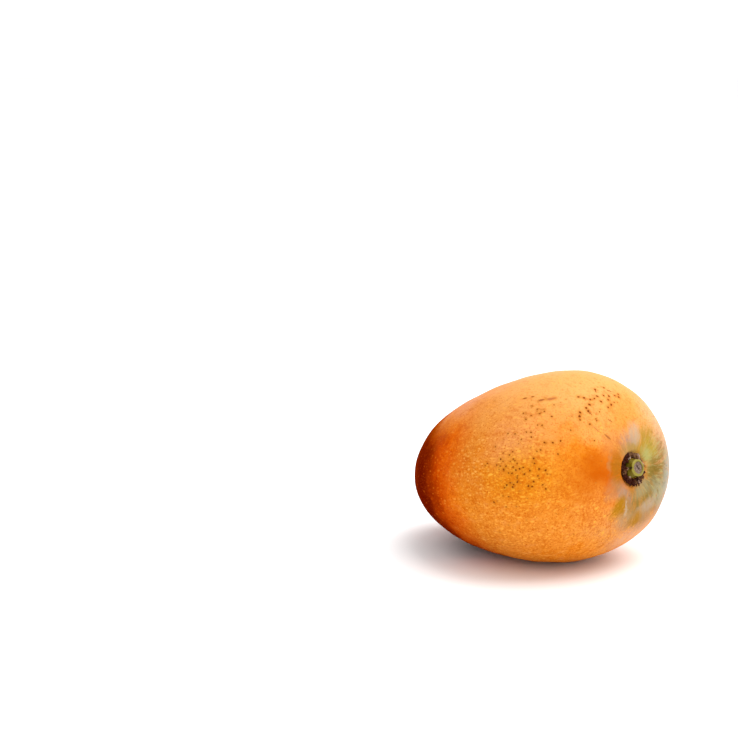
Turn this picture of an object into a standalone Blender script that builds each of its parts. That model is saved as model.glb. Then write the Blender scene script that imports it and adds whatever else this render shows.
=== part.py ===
"""A ripe mango lying on its cheek, with the cut stub of its stem and the dried calyx round it.

Three solids: the fruit, the calyx ring sunk in the scar at its stem end, and the stem stub
standing in the ring. Metres, +Z up, the fruit's length along X with the stem at +X. The
origin is on the floor, under the middle of the fruit.
"""

import math

import bmesh
import bpy
from mathutils import Euler, Vector

MM = 0.001

# Driving dimensions of the fruit
LENGTH = 114.0 * MM
BREADTH = 90.0 * MM
THICKNESS = 73.5 * MM
BREADTH_TAPER = 0.18
THICKNESS_TAPER = 0.27
STEM_FULLNESS = 2.55
APEX_FULLNESS = 2.25

# How far the middle line of the fruit bends away from its axis at each end
STEM_SIDE_OFFSET = 7.0 * MM
STEM_UP_OFFSET = 6.0 * MM
APEX_SIDE_OFFSET = 7.0 * MM
APEX_UP_OFFSET = -1.1 * MM
CHEEK_RISE = 2.4 * MM

# Broad low swellings and flats of the grown fruit. Each is given by its angle from the stem,
# its angle round the fruit from the +Y edge towards the upper cheek, its reach in degrees
# and its height, which is negative for a flat.
SWELLINGS = {
    "far lower shoulder": (50.0, -25.0, 25.0, 1.5 * MM),
    "top shoulder": (55.0, 75.0, 28.0, 0.8 * MM),
    "upper apex": (155.0, 120.0, 26.0, 0.7 * MM),
    "upper cheek flat": (115.0, 100.0, 30.0, -0.7 * MM),
    "near apex flat": (165.0, 180.0, 24.0, -1.5 * MM),
}

# The stem basin, and the round scar at its foot that holds the calyx and the stub
BASIN_DEPTH = 2.6 * MM
BASIN_REACH = 12.0 * MM
SCAR_RADIUS = 7.0 * MM
SCAR_DEPTH = 1.2 * MM
STEM_LEAN = 8.0

# How the fruit lies, in degrees, and how far it settles into its small flat resting spot
STEM_END_RAISED = 6.0
ROLLED_BACK = -1.0
SETTLE = 0.6 * MM

# The calyx ring and the stem stub
GAP = 0.3 * MM
CALYX_OUTER = SCAR_RADIUS - GAP
CALYX_INNER = 4.3 * MM
CALYX_HEIGHT = 2.2 * MM
CALYX_LUMPS = 9
STUB_RADIUS = 4.0 * MM
STUB_WAIST = 3.7 * MM
STUB_HEIGHT = 4.0 * MM
STUB_RIM = 0.6 * MM
STUB_DISH = 0.5 * MM
STUB_OVAL = 0.94

# Facets
FRUIT_SEGMENTS = 72
FRUIT_RINGS = 48
RING_CROWDING = 0.4
CALYX_SEGMENTS = 56
CALYX_SIDES = 12
STUB_SEGMENTS = 32
SCAR_SEGMENTS = 56
RIM_POINTS = 4
TINY = 1e-6


def fresh_collections():
    """Empty the scene and make one collection for the parts and one for the cutters."""
    for old in list(bpy.data.objects):
        bpy.data.objects.remove(old)
    made = []
    for name in ("mango", "cutters"):
        group = bpy.data.collections.new(name)
        bpy.context.scene.collection.children.link(group)
        made.append(group)
    return made


def move_to(obj, group):
    """Leave the object in one collection only."""
    for old in list(obj.users_collection):
        old.objects.unlink(obj)
    group.objects.link(obj)


def finish_of(name, colour, roughness):
    """A plain Principled material with the colour seen from a step away."""
    material = bpy.data.materials.new(name)
    material.use_nodes = True
    shader = material.node_tree.nodes["Principled BSDF"]
    shader.inputs["Base Color"].default_value = (*colour, 1.0)
    shader.inputs["Roughness"].default_value = roughness
    shader.inputs["Metallic"].default_value = 0.0
    return material


def direction(from_stem, around):
    """Unit vector at an angle from the stem axis, turned round it from +Y towards +Z."""
    polar = math.radians(from_stem)
    turn = math.radians(around)
    side = math.sin(polar)
    return Vector((math.cos(polar), side * math.cos(turn), side * math.sin(turn)))


def fullness(along):
    """How much wider than an ellipse the fruit is at this place along its axis."""
    power = STEM_FULLNESS if along > 0.0 else APEX_FULLNESS
    reach = abs(along)
    if reach > 1.0 - TINY:
        return math.sqrt(power / 2.0)
    return math.sqrt((1.0 - reach ** power) / (1.0 - reach ** 2))


def skin_point(unit):
    """Point of the skin for a unit vector, with the stem at +X and the cheeks up and down."""
    along, across, through = unit
    full = fullness(along)
    to_apex = (1.0 - along) / 2.0
    to_stem = 1.0 - to_apex
    point = Vector((
        LENGTH / 2.0 * along,
        BREADTH / 2.0 * across * full * (1.0 + BREADTH_TAPER * along),
        THICKNESS / 2.0 * through * full * (1.0 + THICKNESS_TAPER * along),
    ))
    point.y += APEX_SIDE_OFFSET * to_apex ** 2 + STEM_SIDE_OFFSET * to_stem ** 2
    point.z += APEX_UP_OFFSET * to_apex ** 2 + STEM_UP_OFFSET * to_stem ** 2
    point.z += CHEEK_RISE * through ** 2
    outward = point.normalized()
    swell = 0.0
    for from_stem, around, reach, height in SWELLINGS.values():
        away = math.degrees(outward.angle(direction(from_stem, around)))
        swell += height * math.exp(-(away / reach) ** 2)
    point += outward * swell
    if along > 0.0:
        beside = math.hypot(point.y - STEM_SIDE_OFFSET, point.z - STEM_UP_OFFSET)
        point.x -= BASIN_DEPTH * math.exp(-(beside / BASIN_REACH) ** 2)
    return point


def sphere_direction(corner):
    """Turn a corner of the unit sphere so that its pole is the stem, with rings crowded there."""
    polar = math.acos(max(-1.0, min(1.0, corner.z)))
    crowded = polar - RING_CROWDING * math.sin(polar)
    turn = math.degrees(math.atan2(corner.y, corner.x))
    return direction(math.degrees(crowded), turn)


def smooth(mesh, sharp_angle=math.radians(50.0)):
    """Shade round, but keep an edge that is sharp on the real piece."""
    mesh.shade_smooth()
    mesh.set_sharp_from_angle(angle=sharp_angle)


def cutter(name, group, target):
    """Make the active primitive a cutter and take it out of the target exactly."""
    tool = bpy.context.active_object
    tool.name = name
    tool.hide_render = True
    tool.display_type = "WIRE"
    move_to(tool, group)
    cut = target.modifiers.new(name, "BOOLEAN")
    cut.operation = "DIFFERENCE"
    cut.solver = "EXACT"
    cut.object = tool
    return tool


def lay_down(fruit, group):
    """Carry the fruit on an empty that turns it onto its cheek and settles it on the floor."""
    turn = Euler((math.radians(ROLLED_BACK), -math.radians(STEM_END_RAISED), 0.0), "XYZ")
    lowest = min((turn.to_matrix() @ vertex.co).z for vertex in fruit.data.vertices)
    pose = bpy.data.objects.new("mango_pose", None)
    pose.empty_display_size = LENGTH / 2.0
    pose.rotation_euler = turn
    pose.location.z = -lowest - SETTLE
    group.objects.link(pose)
    fruit.parent = pose
    return pose


def centre_over_origin(pose, group):
    """Move the laid fruit sideways until the middle of its whole box is over the origin."""
    bpy.context.view_layer.update()
    corners = [
        part.matrix_world @ vertex.co
        for part in group.objects
        if part.type == "MESH"
        for vertex in part.data.vertices
    ]
    for axis in range(2):
        places = [corner[axis] for corner in corners]
        pose.location[axis] -= (min(places) + max(places)) / 2.0


def make_fruit(group):
    """The whole mango: a unit sphere reshaped into the skin."""
    shape = bmesh.new()
    bmesh.ops.create_uvsphere(
        shape, u_segments=FRUIT_SEGMENTS, v_segments=FRUIT_RINGS, radius=1.0
    )
    for vertex in shape.verts:
        vertex.co = skin_point(sphere_direction(vertex.co))
    mesh = bpy.data.meshes.new("fruit")
    shape.to_mesh(mesh)
    shape.free()
    smooth(mesh)
    fruit = bpy.data.objects.new("fruit", mesh)
    fruit.data.materials.append(finish_of("mango skin", (0.83, 0.36, 0.05), 0.42))
    group.objects.link(fruit)
    return fruit


def make_stem_seat(pose, group):
    """An empty at the foot of the basin, with its Z along the leaning stem."""
    seat = bpy.data.objects.new("stem_seat", None)
    seat.empty_display_size = 2.0 * SCAR_RADIUS
    seat.parent = pose
    seat.location = skin_point(Vector((1.0, 0.0, 0.0)))
    seat.rotation_euler = (0.0, math.radians(90.0 - STEM_LEAN), 0.0)
    group.objects.link(seat)
    return seat


def cut_resting_spot(fruit, group):
    """Take off what would sink below the floor, which leaves the small flat resting spot."""
    depth = LENGTH / 4.0
    bpy.ops.mesh.primitive_cube_add(size=1.0, location=(0.0, 0.0, -depth / 2.0))
    tool = cutter("floor_cutter", group, fruit)
    tool.scale = (2.0 * LENGTH, 2.0 * LENGTH, depth)


def cut_scar(fruit, seat, group):
    """Sink the shallow round scar that the calyx and the stub stand in."""
    reach = 4.0 * SCAR_RADIUS
    bpy.ops.mesh.primitive_cylinder_add(
        vertices=SCAR_SEGMENTS, radius=SCAR_RADIUS, depth=reach
    )
    tool = cutter("scar_cutter", group, fruit)
    tool.parent = seat
    tool.location = (0.0, 0.0, reach / 2.0 - SCAR_DEPTH)


def make_calyx_ring(seat, group):
    """The dried calyx: a ring broken into uneven lumps, flat under its foot."""
    middle = (CALYX_OUTER + CALYX_INNER) / 2.0
    thick = (CALYX_OUTER - CALYX_INNER) / 2.0
    bpy.ops.mesh.primitive_torus_add(
        major_radius=middle,
        minor_radius=thick,
        major_segments=CALYX_SEGMENTS,
        minor_segments=CALYX_SIDES,
    )
    ring = bpy.context.active_object
    ring.name = "calyx_ring"
    ring.data.name = "calyx_ring"
    move_to(ring, group)
    for vertex in ring.data.vertices:
        turn = math.atan2(vertex.co.y, vertex.co.x)
        lump = 0.5 + 0.5 * math.cos(CALYX_LUMPS * turn + 1.1 * math.sin(2.0 * turn))
        uneven = 0.75 + 0.25 * math.sin(3.0 * turn + 0.8)
        beside = math.hypot(vertex.co.x, vertex.co.y) - middle
        narrowed = middle + beside * (0.85 + 0.15 * lump)
        vertex.co.x = narrowed * math.cos(turn)
        vertex.co.y = narrowed * math.sin(turn)
        rise = CALYX_HEIGHT * (0.4 + 0.6 * lump * uneven)
        if vertex.co.z > 0.0:
            vertex.co.z *= rise / thick
        else:
            vertex.co.z *= (SCAR_DEPTH - GAP) / thick
    smooth(ring.data)
    ring.data.materials.append(finish_of("dried calyx", (0.05, 0.03, 0.035), 0.75))
    ring.parent = seat


def stub_profile():
    """Outline of the stub at +X, from the middle of its cut face down its side to its foot."""
    foot = GAP - SCAR_DEPTH
    top = foot + STUB_HEIGHT
    points = [(0.0, top - STUB_DISH), (STUB_WAIST - 2.0 * STUB_RIM, top - STUB_DISH)]
    for step in range(RIM_POINTS + 1):
        turn = math.pi * (1.0 - step / RIM_POINTS)
        points.append((
            STUB_WAIST - STUB_RIM + STUB_RIM * math.cos(turn),
            top - STUB_RIM + STUB_RIM * math.sin(turn),
        ))
    points.append((STUB_RADIUS, foot + STUB_RIM))
    points.append((STUB_RADIUS - STUB_RIM / 2.0, foot))
    points.append((0.0, foot))
    return points


def make_stem_stub(seat, group):
    """The cut stub of the stem, turned about its own axis and a little oval."""
    shape = bmesh.new()
    corners = [shape.verts.new((radius, 0.0, height)) for radius, height in stub_profile()]
    for upper, lower in zip(corners, corners[1:]):
        shape.edges.new((upper, lower))
    mesh = bpy.data.meshes.new("stem_stub")
    shape.to_mesh(mesh)
    shape.free()
    stub = bpy.data.objects.new("stem_stub", mesh)
    group.objects.link(stub)
    turned = stub.modifiers.new("turned", "SCREW")
    turned.steps = STUB_SEGMENTS
    turned.render_steps = STUB_SEGMENTS
    turned.use_merge_vertices = True
    turned.merge_threshold = 0.01 * MM
    stub.data.materials.append(finish_of("green stem", (0.22, 0.24, 0.05), 0.55))
    stub.parent = seat
    stub.scale = (1.0, STUB_OVAL, 1.0)


def main():
    """Make the mango."""
    parts, cutters = fresh_collections()
    fruit = make_fruit(parts)
    pose = lay_down(fruit, parts)
    seat = make_stem_seat(pose, parts)
    cut_resting_spot(fruit, cutters)
    cut_scar(fruit, seat, cutters)
    make_calyx_ring(seat, parts)
    make_stem_stub(seat, parts)
    centre_over_origin(pose, parts)


main()
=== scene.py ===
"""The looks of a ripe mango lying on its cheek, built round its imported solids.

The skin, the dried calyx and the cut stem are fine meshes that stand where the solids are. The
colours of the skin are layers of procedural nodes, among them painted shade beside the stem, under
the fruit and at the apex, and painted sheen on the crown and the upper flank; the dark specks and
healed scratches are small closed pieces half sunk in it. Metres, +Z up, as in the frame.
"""

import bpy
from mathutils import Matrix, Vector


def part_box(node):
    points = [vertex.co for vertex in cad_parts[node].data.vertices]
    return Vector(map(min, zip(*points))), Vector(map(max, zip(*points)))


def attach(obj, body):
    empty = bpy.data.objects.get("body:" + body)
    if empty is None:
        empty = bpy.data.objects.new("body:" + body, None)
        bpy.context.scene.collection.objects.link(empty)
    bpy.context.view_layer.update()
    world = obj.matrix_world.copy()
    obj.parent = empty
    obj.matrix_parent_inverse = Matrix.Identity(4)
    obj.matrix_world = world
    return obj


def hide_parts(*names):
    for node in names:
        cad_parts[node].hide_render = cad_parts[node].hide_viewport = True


bl_info = {
    "name": "Ripe mango",
    "version": (1, 0, 0),
    "blender": (4, 5, 0),
    "location": "View3D > Sidebar > Mango",
    "description": "A ripe mango with its skin, specks, calyx and cut stem",
    "category": "Object",
}

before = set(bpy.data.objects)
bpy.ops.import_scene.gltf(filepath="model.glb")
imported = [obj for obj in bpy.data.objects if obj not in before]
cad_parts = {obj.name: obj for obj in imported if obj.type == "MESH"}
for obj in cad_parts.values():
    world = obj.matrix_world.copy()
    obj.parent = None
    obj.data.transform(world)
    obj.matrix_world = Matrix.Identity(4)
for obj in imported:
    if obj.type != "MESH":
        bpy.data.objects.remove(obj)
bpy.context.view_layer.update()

import math

import bmesh
import bpy
import numpy as np
from bpy.props import FloatProperty, FloatVectorProperty, IntProperty, PointerProperty
from mathutils import Euler, Matrix, Vector, noise
from mathutils.bvhtree import BVHTree

MM = 0.001
TINY = 1e-6
BODY = "root"
FRUIT_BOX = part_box("fruit")

# The photograph is square, and this is half its side in pixels
PHOTO_HALF = 369

# Broad low swellings and flats of the grown fruit: angle from the stem, angle round the fruit
# from the +Y edge towards the upper cheek, reach in degrees, and height
SWELLINGS = {
    "far lower shoulder": (50, -25, 25, 1.5 * MM),
    "top shoulder": (55, 75, 28, 0.8 * MM),
    "upper apex": (155, 120, 26, 0.7 * MM),
    "upper cheek flat": (115, 100, 30, -0.7 * MM),
    "near apex flat": (165, 180, 24, -1.5 * MM),
}

# Patches of colour: angle from the stem, angle round the fruit, half length and half width in
# millimetres, softness of the edge, colour, and strength
BROAD_PATCHES = {
    # The crown's pale gold is partly the skin's own colour and partly painted sheen of the light
    # from above
    "crown": (60, 96, 37, 37, 0.6, "gold", 0.95),
    "crown shoulder": (38, 62, 17, 17, 0.9, "gold", 0.5),
    "stem shoulder": (26, 18, 14, 16, 0.7, "cream", 0.85),
    "lower shoulder": (30, -95, 18, 20, 0.8, "peach", 0.8),
    "under band": (60, -125, 34, 34, 0.9, "peach", 0.45),
    "far gold": (70, 5, 40, 40, 0.9, "gold", 0.6),
    "far blush": (95, -20, 30, 24, 0.9, "deep_and_shade", 0.5),
    # A narrow painted sheen band along the upper flank, pink like the bloom
    "upper flank blush": (100, 124, 24, 7, 0.9, "rose", 0.55),
    "warm wedge": (27, 156, 13, 7, 0.9, "amber", 0.8),
    "under edge": (53, -117, 12, 10, 0.8, "amber", 0.7),
    "warm shoulder": (25.5, 88, 7.5, 7.5, 0.9, "amber", 0.4),
    # Painted shade on the basin's slope beside the stem, laid in the deep colour
    "hollow": (18, 176, 10, 8, 0.95, "deep_and_shade", 1),
    # Painted shade on the belly and on the underside by the apex, in the deep colour
    "belly shade": (25.4, -151, 9, 9, 0.9, "deep_and_shade", 0.3),
    "low haze": (29.4, -103, 10, 10, 0.9, "tan", 0.24),
    "low shade": (86, -140, 10, 10, 0.9, "deep_and_shade", 0.6),
    "pink patch": (61.8, 161.5, 8.5, 8.5, 0.7, "rose", 0.45),
    "mauve patch": (56, 150, 10, 7, 0.7, "rose", 0.3),
}
STEM_PATCHES = {
    "pale rim": (36.5, -69, 6.5, 12, 0.8, "cream", 0.75),
    "green side": (17, -22, 10, 17, 0.6, "olive", 0.9),
    "green under": (17.5, -78, 8.5, 10, 0.6, "olive", 0.9),
    "upper olive": (13.5, 52, 8, 5.5, 0.6, "gilt", 0.9),
    "yellow green": (14, 33, 4.5, 4, 0.6, "moss", 0.65),
    "mint": (8.8, 34, 2.6, 3.4, 0.5, "mint", 0.9),
    "mint beside": (9.4, 10, 2.2, 5, 0.7, "mint", 0.55),
    "brown right": (13.5, -12, 5, 5.5, 0.6, "bark", 0.65),
    "brown low right": (15, -36, 4.5, 4, 0.6, "bark", 0.6),
    "grey edge": (28, -16, 6, 15, 0.6, "ash", 0.8),
    "blue grey": (20.5, -37, 7, 5.5, 0.6, "frost", 0.85),
    "grey green": (10.5, -62, 3, 4.5, 0.6, "frost", 0.6),
    "low lilac": (21.3, -66, 3.4, 6.5, 0.6, "lilac", 0.8),
    "upper lilac": (14.3, 81, 5.6, 3.3, 0.45, "lilac", 0.85),
    "upper tan": (11, 103, 4.5, 4.5, 0.6, "tan", 0.8),
    "low pink": (11.6, -126, 3.2, 7, 0.6, "tan", 0.9),
    "lower pink": (15.5, -146, 3.2, 3.4, 0.6, "coral", 0.9),
    "mustard": (17.5, -115, 5.5, 3.6, 0.45, "mustard", 0.95),
    "low pale": (24, -95, 4.5, 4, 0.8, "lilac", 0.4),
    "pale rib": (18, -102, 7, 0.7, 0.7, "lilac", 0.85),
    "low tan": (27, -68, 7, 9, 0.7, "tan", 0.32),
    "lower mustard": (24.5, -80, 3.6, 4.6, 0.6, "mustard", 0.85),
    "scar line": (13.6, 163, 6.5, 0.9, 0.7, "coral", 0.85),
    "upper coral": (16, 128, 4.5, 4.5, 0.8, "coral", 0.5),
    "brown collar": (9, 170, 3.8, 7.5, 0.7, "stain", 0.9),
    "collar shade": (9.5, 170, 3.6, 7, 0.7, "bark", 0.25),
    "gold collar": (8.6, 85, 2.4, 7, 0.7, "gilt", 0.75),
}

# The patches that are turned from the line that runs out of the stem, in degrees
TURNED = {"pale rib": 26, "scar line": 90}
# Places that hold back or bring out a layer of the skin: as the patches, without a colour
MASKS = {
    # Keeps the red glazes off the crown's painted sheen
    "unblushed crown": (95, 92, 34, 34, 0.6, 0.55),
    # Keeps the red glazes off the painted sheen band on the upper flank
    "unblushed flank": (100, 122, 32, 15, 0.45, 0.92),
    "yellow middle": (54, 175, 36, 10.5, 0.6, 0.75),
    "green end": (19, -5, 15, 17, 0.5, 1),
    "stem end": (8, -30, 22, 22, 0.35, 0.85),
    "lower cheek": (48, -135, 42, 42, 0.7, 0.55),
    "crown": (60, 92, 36, 36, 0.6, 1),
    "flank": (64, 160, 20, 16, 0.7, 1),
    "apex": (135, 175, 46, 46, 0.5, 0.45),
    # Where the painted shade beside the stem holds back the pale mottle and pores
    "hollow": (20, 174, 14, 11, 0.7, 0.95),
}

# Dark specks by their place in the photograph, in pixels, each group with a radius
SPECKS = {
    "middle cluster": (0.39 * MM, (
        (544.5, 442.5), (552.8, 442.6), (560.6, 440.9), (531.3, 437.1), (533.6, 458.5),
        (534.5, 463.4), (539.1, 469), (529.9, 470.7), (523.2, 467.5), (519.6, 468.8),
        (513.1, 467), (515.8, 470.1), (524.4, 474.1), (512, 473.4), (537.9, 475.8),
        (532.2, 486.5), (528.4, 486.1), (542.7, 484.8), (545.8, 488.9), (545.6, 470.3),
        (517.3, 482), (512.7, 487), (506.8, 485.1), (503.7, 469.6), (506, 466.3),
        (500.7, 459.1), (533.6, 481.6), (494, 502.1),
    )),
    "middle fine": (0.29 * MM, (
        (508.5, 473), (539.1, 478.5), (547.1, 474), (513.7, 484.5), (510.2, 482.8),
        (504.6, 487.8), (517.5, 475.9), (517.1, 478), (500.3, 466.1), (496.7, 465),
        (503, 461.4), (509.6, 455), (503.3, 453), (512.7, 451.7), (513.3, 459.1),
        (514.8, 460.8), (517.1, 463.4), (510.2, 461.5), (487.3, 463.4), (485.1, 465.7),
        (503, 496), (508.7, 496.7), (506.2, 506.9), (537, 451.3), (540.7, 450),
        (558, 454.1), (594.4, 440.6), (570.8, 430.2), (508, 433.5), (521.3, 439.4),
        (495.3, 446.8),
    )),
    "upper left group": (0.33 * MM, (
        (525, 398.3), (532.7, 396.7), (532.1, 405.9), (537.2, 409.2), (544.4, 411.5),
        (523.3, 413.3), (531.1, 415.6), (526, 419.4), (539.8, 413.6), (554.1, 404.9),
        (551.8, 416.5), (537.6, 425), (542.1, 425.2), (531.1, 432.4), (526.5, 432.1),
        (515.1, 433.9),
    )),
    "upper right cluster": (0.51 * MM, (
        (578.4, 396.9), (584.1, 397.8), (590.3, 399.5), (594.4, 398.5), (597.2, 396.2),
        (595.1, 389.3), (603.9, 387.8), (603.6, 395.6), (609, 396.2), (614.8, 395.6),
        (618.2, 394.2), (618.7, 397.1), (608.2, 399.7), (601, 401.5), (589.5, 404.6),
        (586.2, 407.9), (588.3, 411.2), (611.2, 404.6), (608.2, 407.3), (580.1, 412.4),
        (579.6, 416.3), (589.8, 424.2),
    )),
    "upper right fine": (0.33 * MM, (
        (614.1, 402.3), (599.5, 411.9), (580.1, 419.9), (595.9, 418.9), (596.7, 420.6),
    )),
}

# Streaks and healed scratches: start and end in the photograph's pixels, half width, how much
# wider the start is, and redness
STREAKS = {
    "mauve streak": ((537.5, 400.8), (545.5, 399.4), 0.62 * MM, 0, 0.5),
    "red streak": ((546, 399.8), (557, 397.9), 0.85 * MM, 0.2, 0.8),
    "flat dash": ((522.5, 398.6), (527.8, 398), 0.36 * MM, 0, 0.1),
    "small dash": ((531, 396.9), (534.8, 396.4), 0.28 * MM, 0, 0.2),
    "slanted dash": ((606, 389.8), (612.2, 391.9), 0.27 * MM, 0, 0.1),
    "short tail": ((595.1, 389.3), (596.2, 393.2), 0.28 * MM, 0.5, 0.3),
    "comet tail": ((588, 411), (592.6, 415.6), 0.36 * MM, 0.6, 0.5),
    "low dash": ((607, 418.6), (613.2, 422.6), 0.22 * MM, 0, 0.4),
    "scratch": ((590.5, 424.8), (604, 435.6), 0.22 * MM, 0.4, 1),
    "scratch end": ((603.5, 433.6), (611.5, 440), 0.52 * MM, -0.2, 0.6),
}


def length(name, description, millimetres):
    """A length that the sidebar shows, given in millimetres."""
    return FloatProperty(
        name=name, description=description, default=millimetres * MM,
        unit="LENGTH", subtype="DISTANCE", precision=5,
    )


def angle(name, description, degrees):
    """An angle that the sidebar shows, given in degrees."""
    return FloatProperty(
        name=name, description=description, default=math.radians(degrees),
        unit="ROTATION", subtype="ANGLE",
    )


def share(name, description, default, highest=1):
    """A plain number that the sidebar shows."""
    return FloatProperty(
        name=name, description=description, default=default, min=0, max=highest
    )


def count(name, description, default):
    """A whole number that the sidebar shows."""
    return IntProperty(name=name, description=description, default=default, min=1)


def colour(name, description, default):
    """A colour that the sidebar shows."""
    return FloatVectorProperty(
        name=name, description=description, default=default,
        subtype="COLOR", size=3, min=0, max=1,
    )


def point(name, description, default):
    """A place that the sidebar shows, in metres."""
    return FloatVectorProperty(
        name=name, description=description, default=default,
        unit="LENGTH", subtype="TRANSLATION", size=3,
    )


class MangoFruitSettings(bpy.types.PropertyGroup):
    """The form of the fruit and how it lies, as in the solids."""

    length: length("Length", "Length before the ends are bent and pressed in", 114)
    breadth: length("Breadth", "Breadth across the seams", 90)
    thickness: length("Thickness", "Thickness through the cheeks", 73.5)
    breadth_taper: share("Breadth taper", "How much broader the stem end is", 0.18)
    thickness_taper: share("Thickness taper", "How much thicker the stem end is", 0.27)
    stem_fullness: share("Stem fullness", "Power of the outline at the stem end", 2.55, 4)
    apex_fullness: share("Apex fullness", "Power of the outline at the apex", 2.25, 4)
    stem_side: length("Stem side", "How far the stem end bends to +Y", 7)
    stem_up: length("Stem up", "How far the stem end bends up", 6)
    apex_side: length("Apex side", "How far the apex bends to +Y", 7)
    apex_up: length("Apex up", "How far the apex bends up", -1.1)
    cheek_rise: length("Cheek rise", "How far the cheeks stand above the middle", 2.4)
    basin_depth: length("Basin depth", "Depth of the basin round the stem", 2.6)
    basin_reach: length("Basin reach", "Reach of the basin round the stem", 12)
    stem_lean: angle("Stem lean", "Lean of the stem from the fruit's axis", 8)
    stem_end_raised: angle("Stem end raised", "Tilt that lifts the stem end", 6)
    rolled_back: angle("Rolled back", "Roll about the fruit's axis", -1)
    scar_radius: length("Scar radius", "Radius of the scar round the stem", 7)
    scar_depth: length("Scar depth", "Depth of the scar round the stem", 1.1)
    undulation: length("Undulation", "Height of the skin's slow waves", 0.11)
    ridge: length("Ridge", "Height of the folds that run out from the stem", 0.16)
    cuts: count("Cuts", "Cuts along each edge of the cube that becomes the skin", 125)


class MangoColourSettings(bpy.types.PropertyGroup):
    """The colours of the skin, from its ground to its marks."""

    amber: colour("Amber", "Ground of the ripe skin", (0.67, 0.185, 0.002))
    gold: colour("Gold", "Pale crown of the fruit", (0.67, 0.32, 0.092))
    # Pale gold, partly the crown's own colour and partly painted sheen
    cream: colour("Cream", "Shoulder beside the stem", (0.66, 0.4, 0.27))
    peach: colour("Peach", "Pink orange of the lower cheek", (0.7, 0.27, 0.055))
    flame: colour("Flame", "Red orange glaze of the half by the apex", (1, 0.4, 0.05))
    honey: colour("Honey", "Yellow glaze of the middle", (1, 1, 0.3))
    # Deep red of the apex, partly blush and partly painted shade
    ember_and_shade: colour("Ember", "Deep red glaze at the apex", (0.2, 0.08, 0.3))
    # Deep red orange of the skin, also laid as painted shade beside the stem, on the belly and on
    # the underside
    deep_and_shade: colour("Deep", "Hollow beside the stem", (0.48, 0.085, 0.0002))
    # Pink bloom, also laid as the painted sheen band on the upper flank
    rose: colour("Rose", "Pink bloom on the flank", (0.68, 0.275, 0.11))
    olive: colour("Olive", "Unripe green at the stem", (0.19, 0.125, 0.02))
    gilt: colour("Gilt", "Yellow green above the stem", (0.33, 0.19, 0.018))
    moss: colour("Moss", "Yellow green beside the stem", (0.33, 0.26, 0.035))
    mint: colour("Mint", "Pale green at the stem's foot", (0.33, 0.31, 0.095))
    bark: colour("Bark", "Brown green between the pale rays", (0.14, 0.088, 0.008))
    frost: colour("Frost", "Blue grey wax", (0.29, 0.265, 0.15))
    ash: colour("Ash", "Grey wax on the shoulder", (0.25, 0.27, 0.235))
    lilac: colour("Lilac", "Pale violet wax at the stem", (0.41, 0.3, 0.195))
    tan: colour("Tan", "Pink brown wax at the stem", (0.31, 0.205, 0.145))
    coral: colour("Coral", "Pink healed skin", (0.47, 0.17, 0.055))
    mustard: colour("Mustard", "Yellow brown spots at the stem", (0.34, 0.145, 0.002))
    ray: colour("Ray", "Pale rays that run out of the stem", (0.34, 0.295, 0.11))
    fleck: colour("Fleck", "Pale pores of the skin", (0.84, 0.38, 0.055))
    pit: colour("Pit", "Small red pits between the pores", (0.49, 0.085, 0.0003))
    stain: colour("Stain", "Brown halo round a speck", (0.4, 0.12, 0.004))
    speck: colour("Speck", "Dark middle of a speck", (0.19, 0.034, 0.0005))
    blossom: colour("Blossom", "Pink pores on the flank", (0.84, 0.4, 0.12))
    streak: colour("Streak", "Red brown of a healed scratch", (0.47, 0.16, 0.045))


class MangoSpeckSettings(bpy.types.PropertyGroup):
    """The dark specks and healed scratches."""

    height: length("Height", "How far a speck stands out of the skin", 0.06)
    sink: length("Sink", "How far a speck's edge is sunk in the skin", 0.03)
    sides: count("Sides", "Sides of a speck", 12)
    scattered: count("Scattered", "Lone fine specks over the whole skin", 170)
    around_clusters: count("Around clusters", "Fine specks about each cluster", 26)
    seed: count("Seed", "Seed of the scattered specks", 7)


class MangoCalyxSettings(bpy.types.PropertyGroup):
    """The dried crust round the stem."""

    radius: length("Radius", "Radius of the ring of lumps", 5.4)
    grain: length("Grain", "Size of the crust's finest facets", 0.13)
    seed: count("Seed", "Seed of the lumps", 11)
    dark: colour("Dark", "Dried crust", (0.036, 0.007, 0.003))
    brown: colour("Brown", "Younger crust", (0.15, 0.07, 0.028))
    # Pale of the worn crust, also painting highlights on the pale lumps
    pale: colour("Pale", "Worn edges of the crust", (0.5, 0.37, 0.33))


class MangoStemSettings(bpy.types.PropertyGroup):
    """The cut stub of the stem."""

    foot_radius: length("Foot radius", "Radius where the stub leaves the ring", 3.9)
    waist_radius: length("Waist radius", "Radius under the rim", 3.55)
    face_radius: length("Face radius", "Radius of the dried cut face", 2.35)
    height: length("Height", "Height above the foot of the scar", 3.1)
    dish: length("Dish", "Depth of the cut face below the rim", 0.5)
    seed: count("Seed", "Seed of the stub's uneven outline", 5)
    green: colour("Green", "Side of the stub", (0.115, 0.082, 0.001))
    lime: colour("Lime", "Bark's rim round the cut", (0.27, 0.225, 0.035))
    grey: colour("Grey", "Dried cut face", (0.16, 0.098, 0.062))
    worn: colour("Worn", "Pale worn parts of the cut face", (0.42, 0.34, 0.31))
    split: colour("Split", "Split across the cut face", (0.022, 0.008, 0.006))


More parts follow.
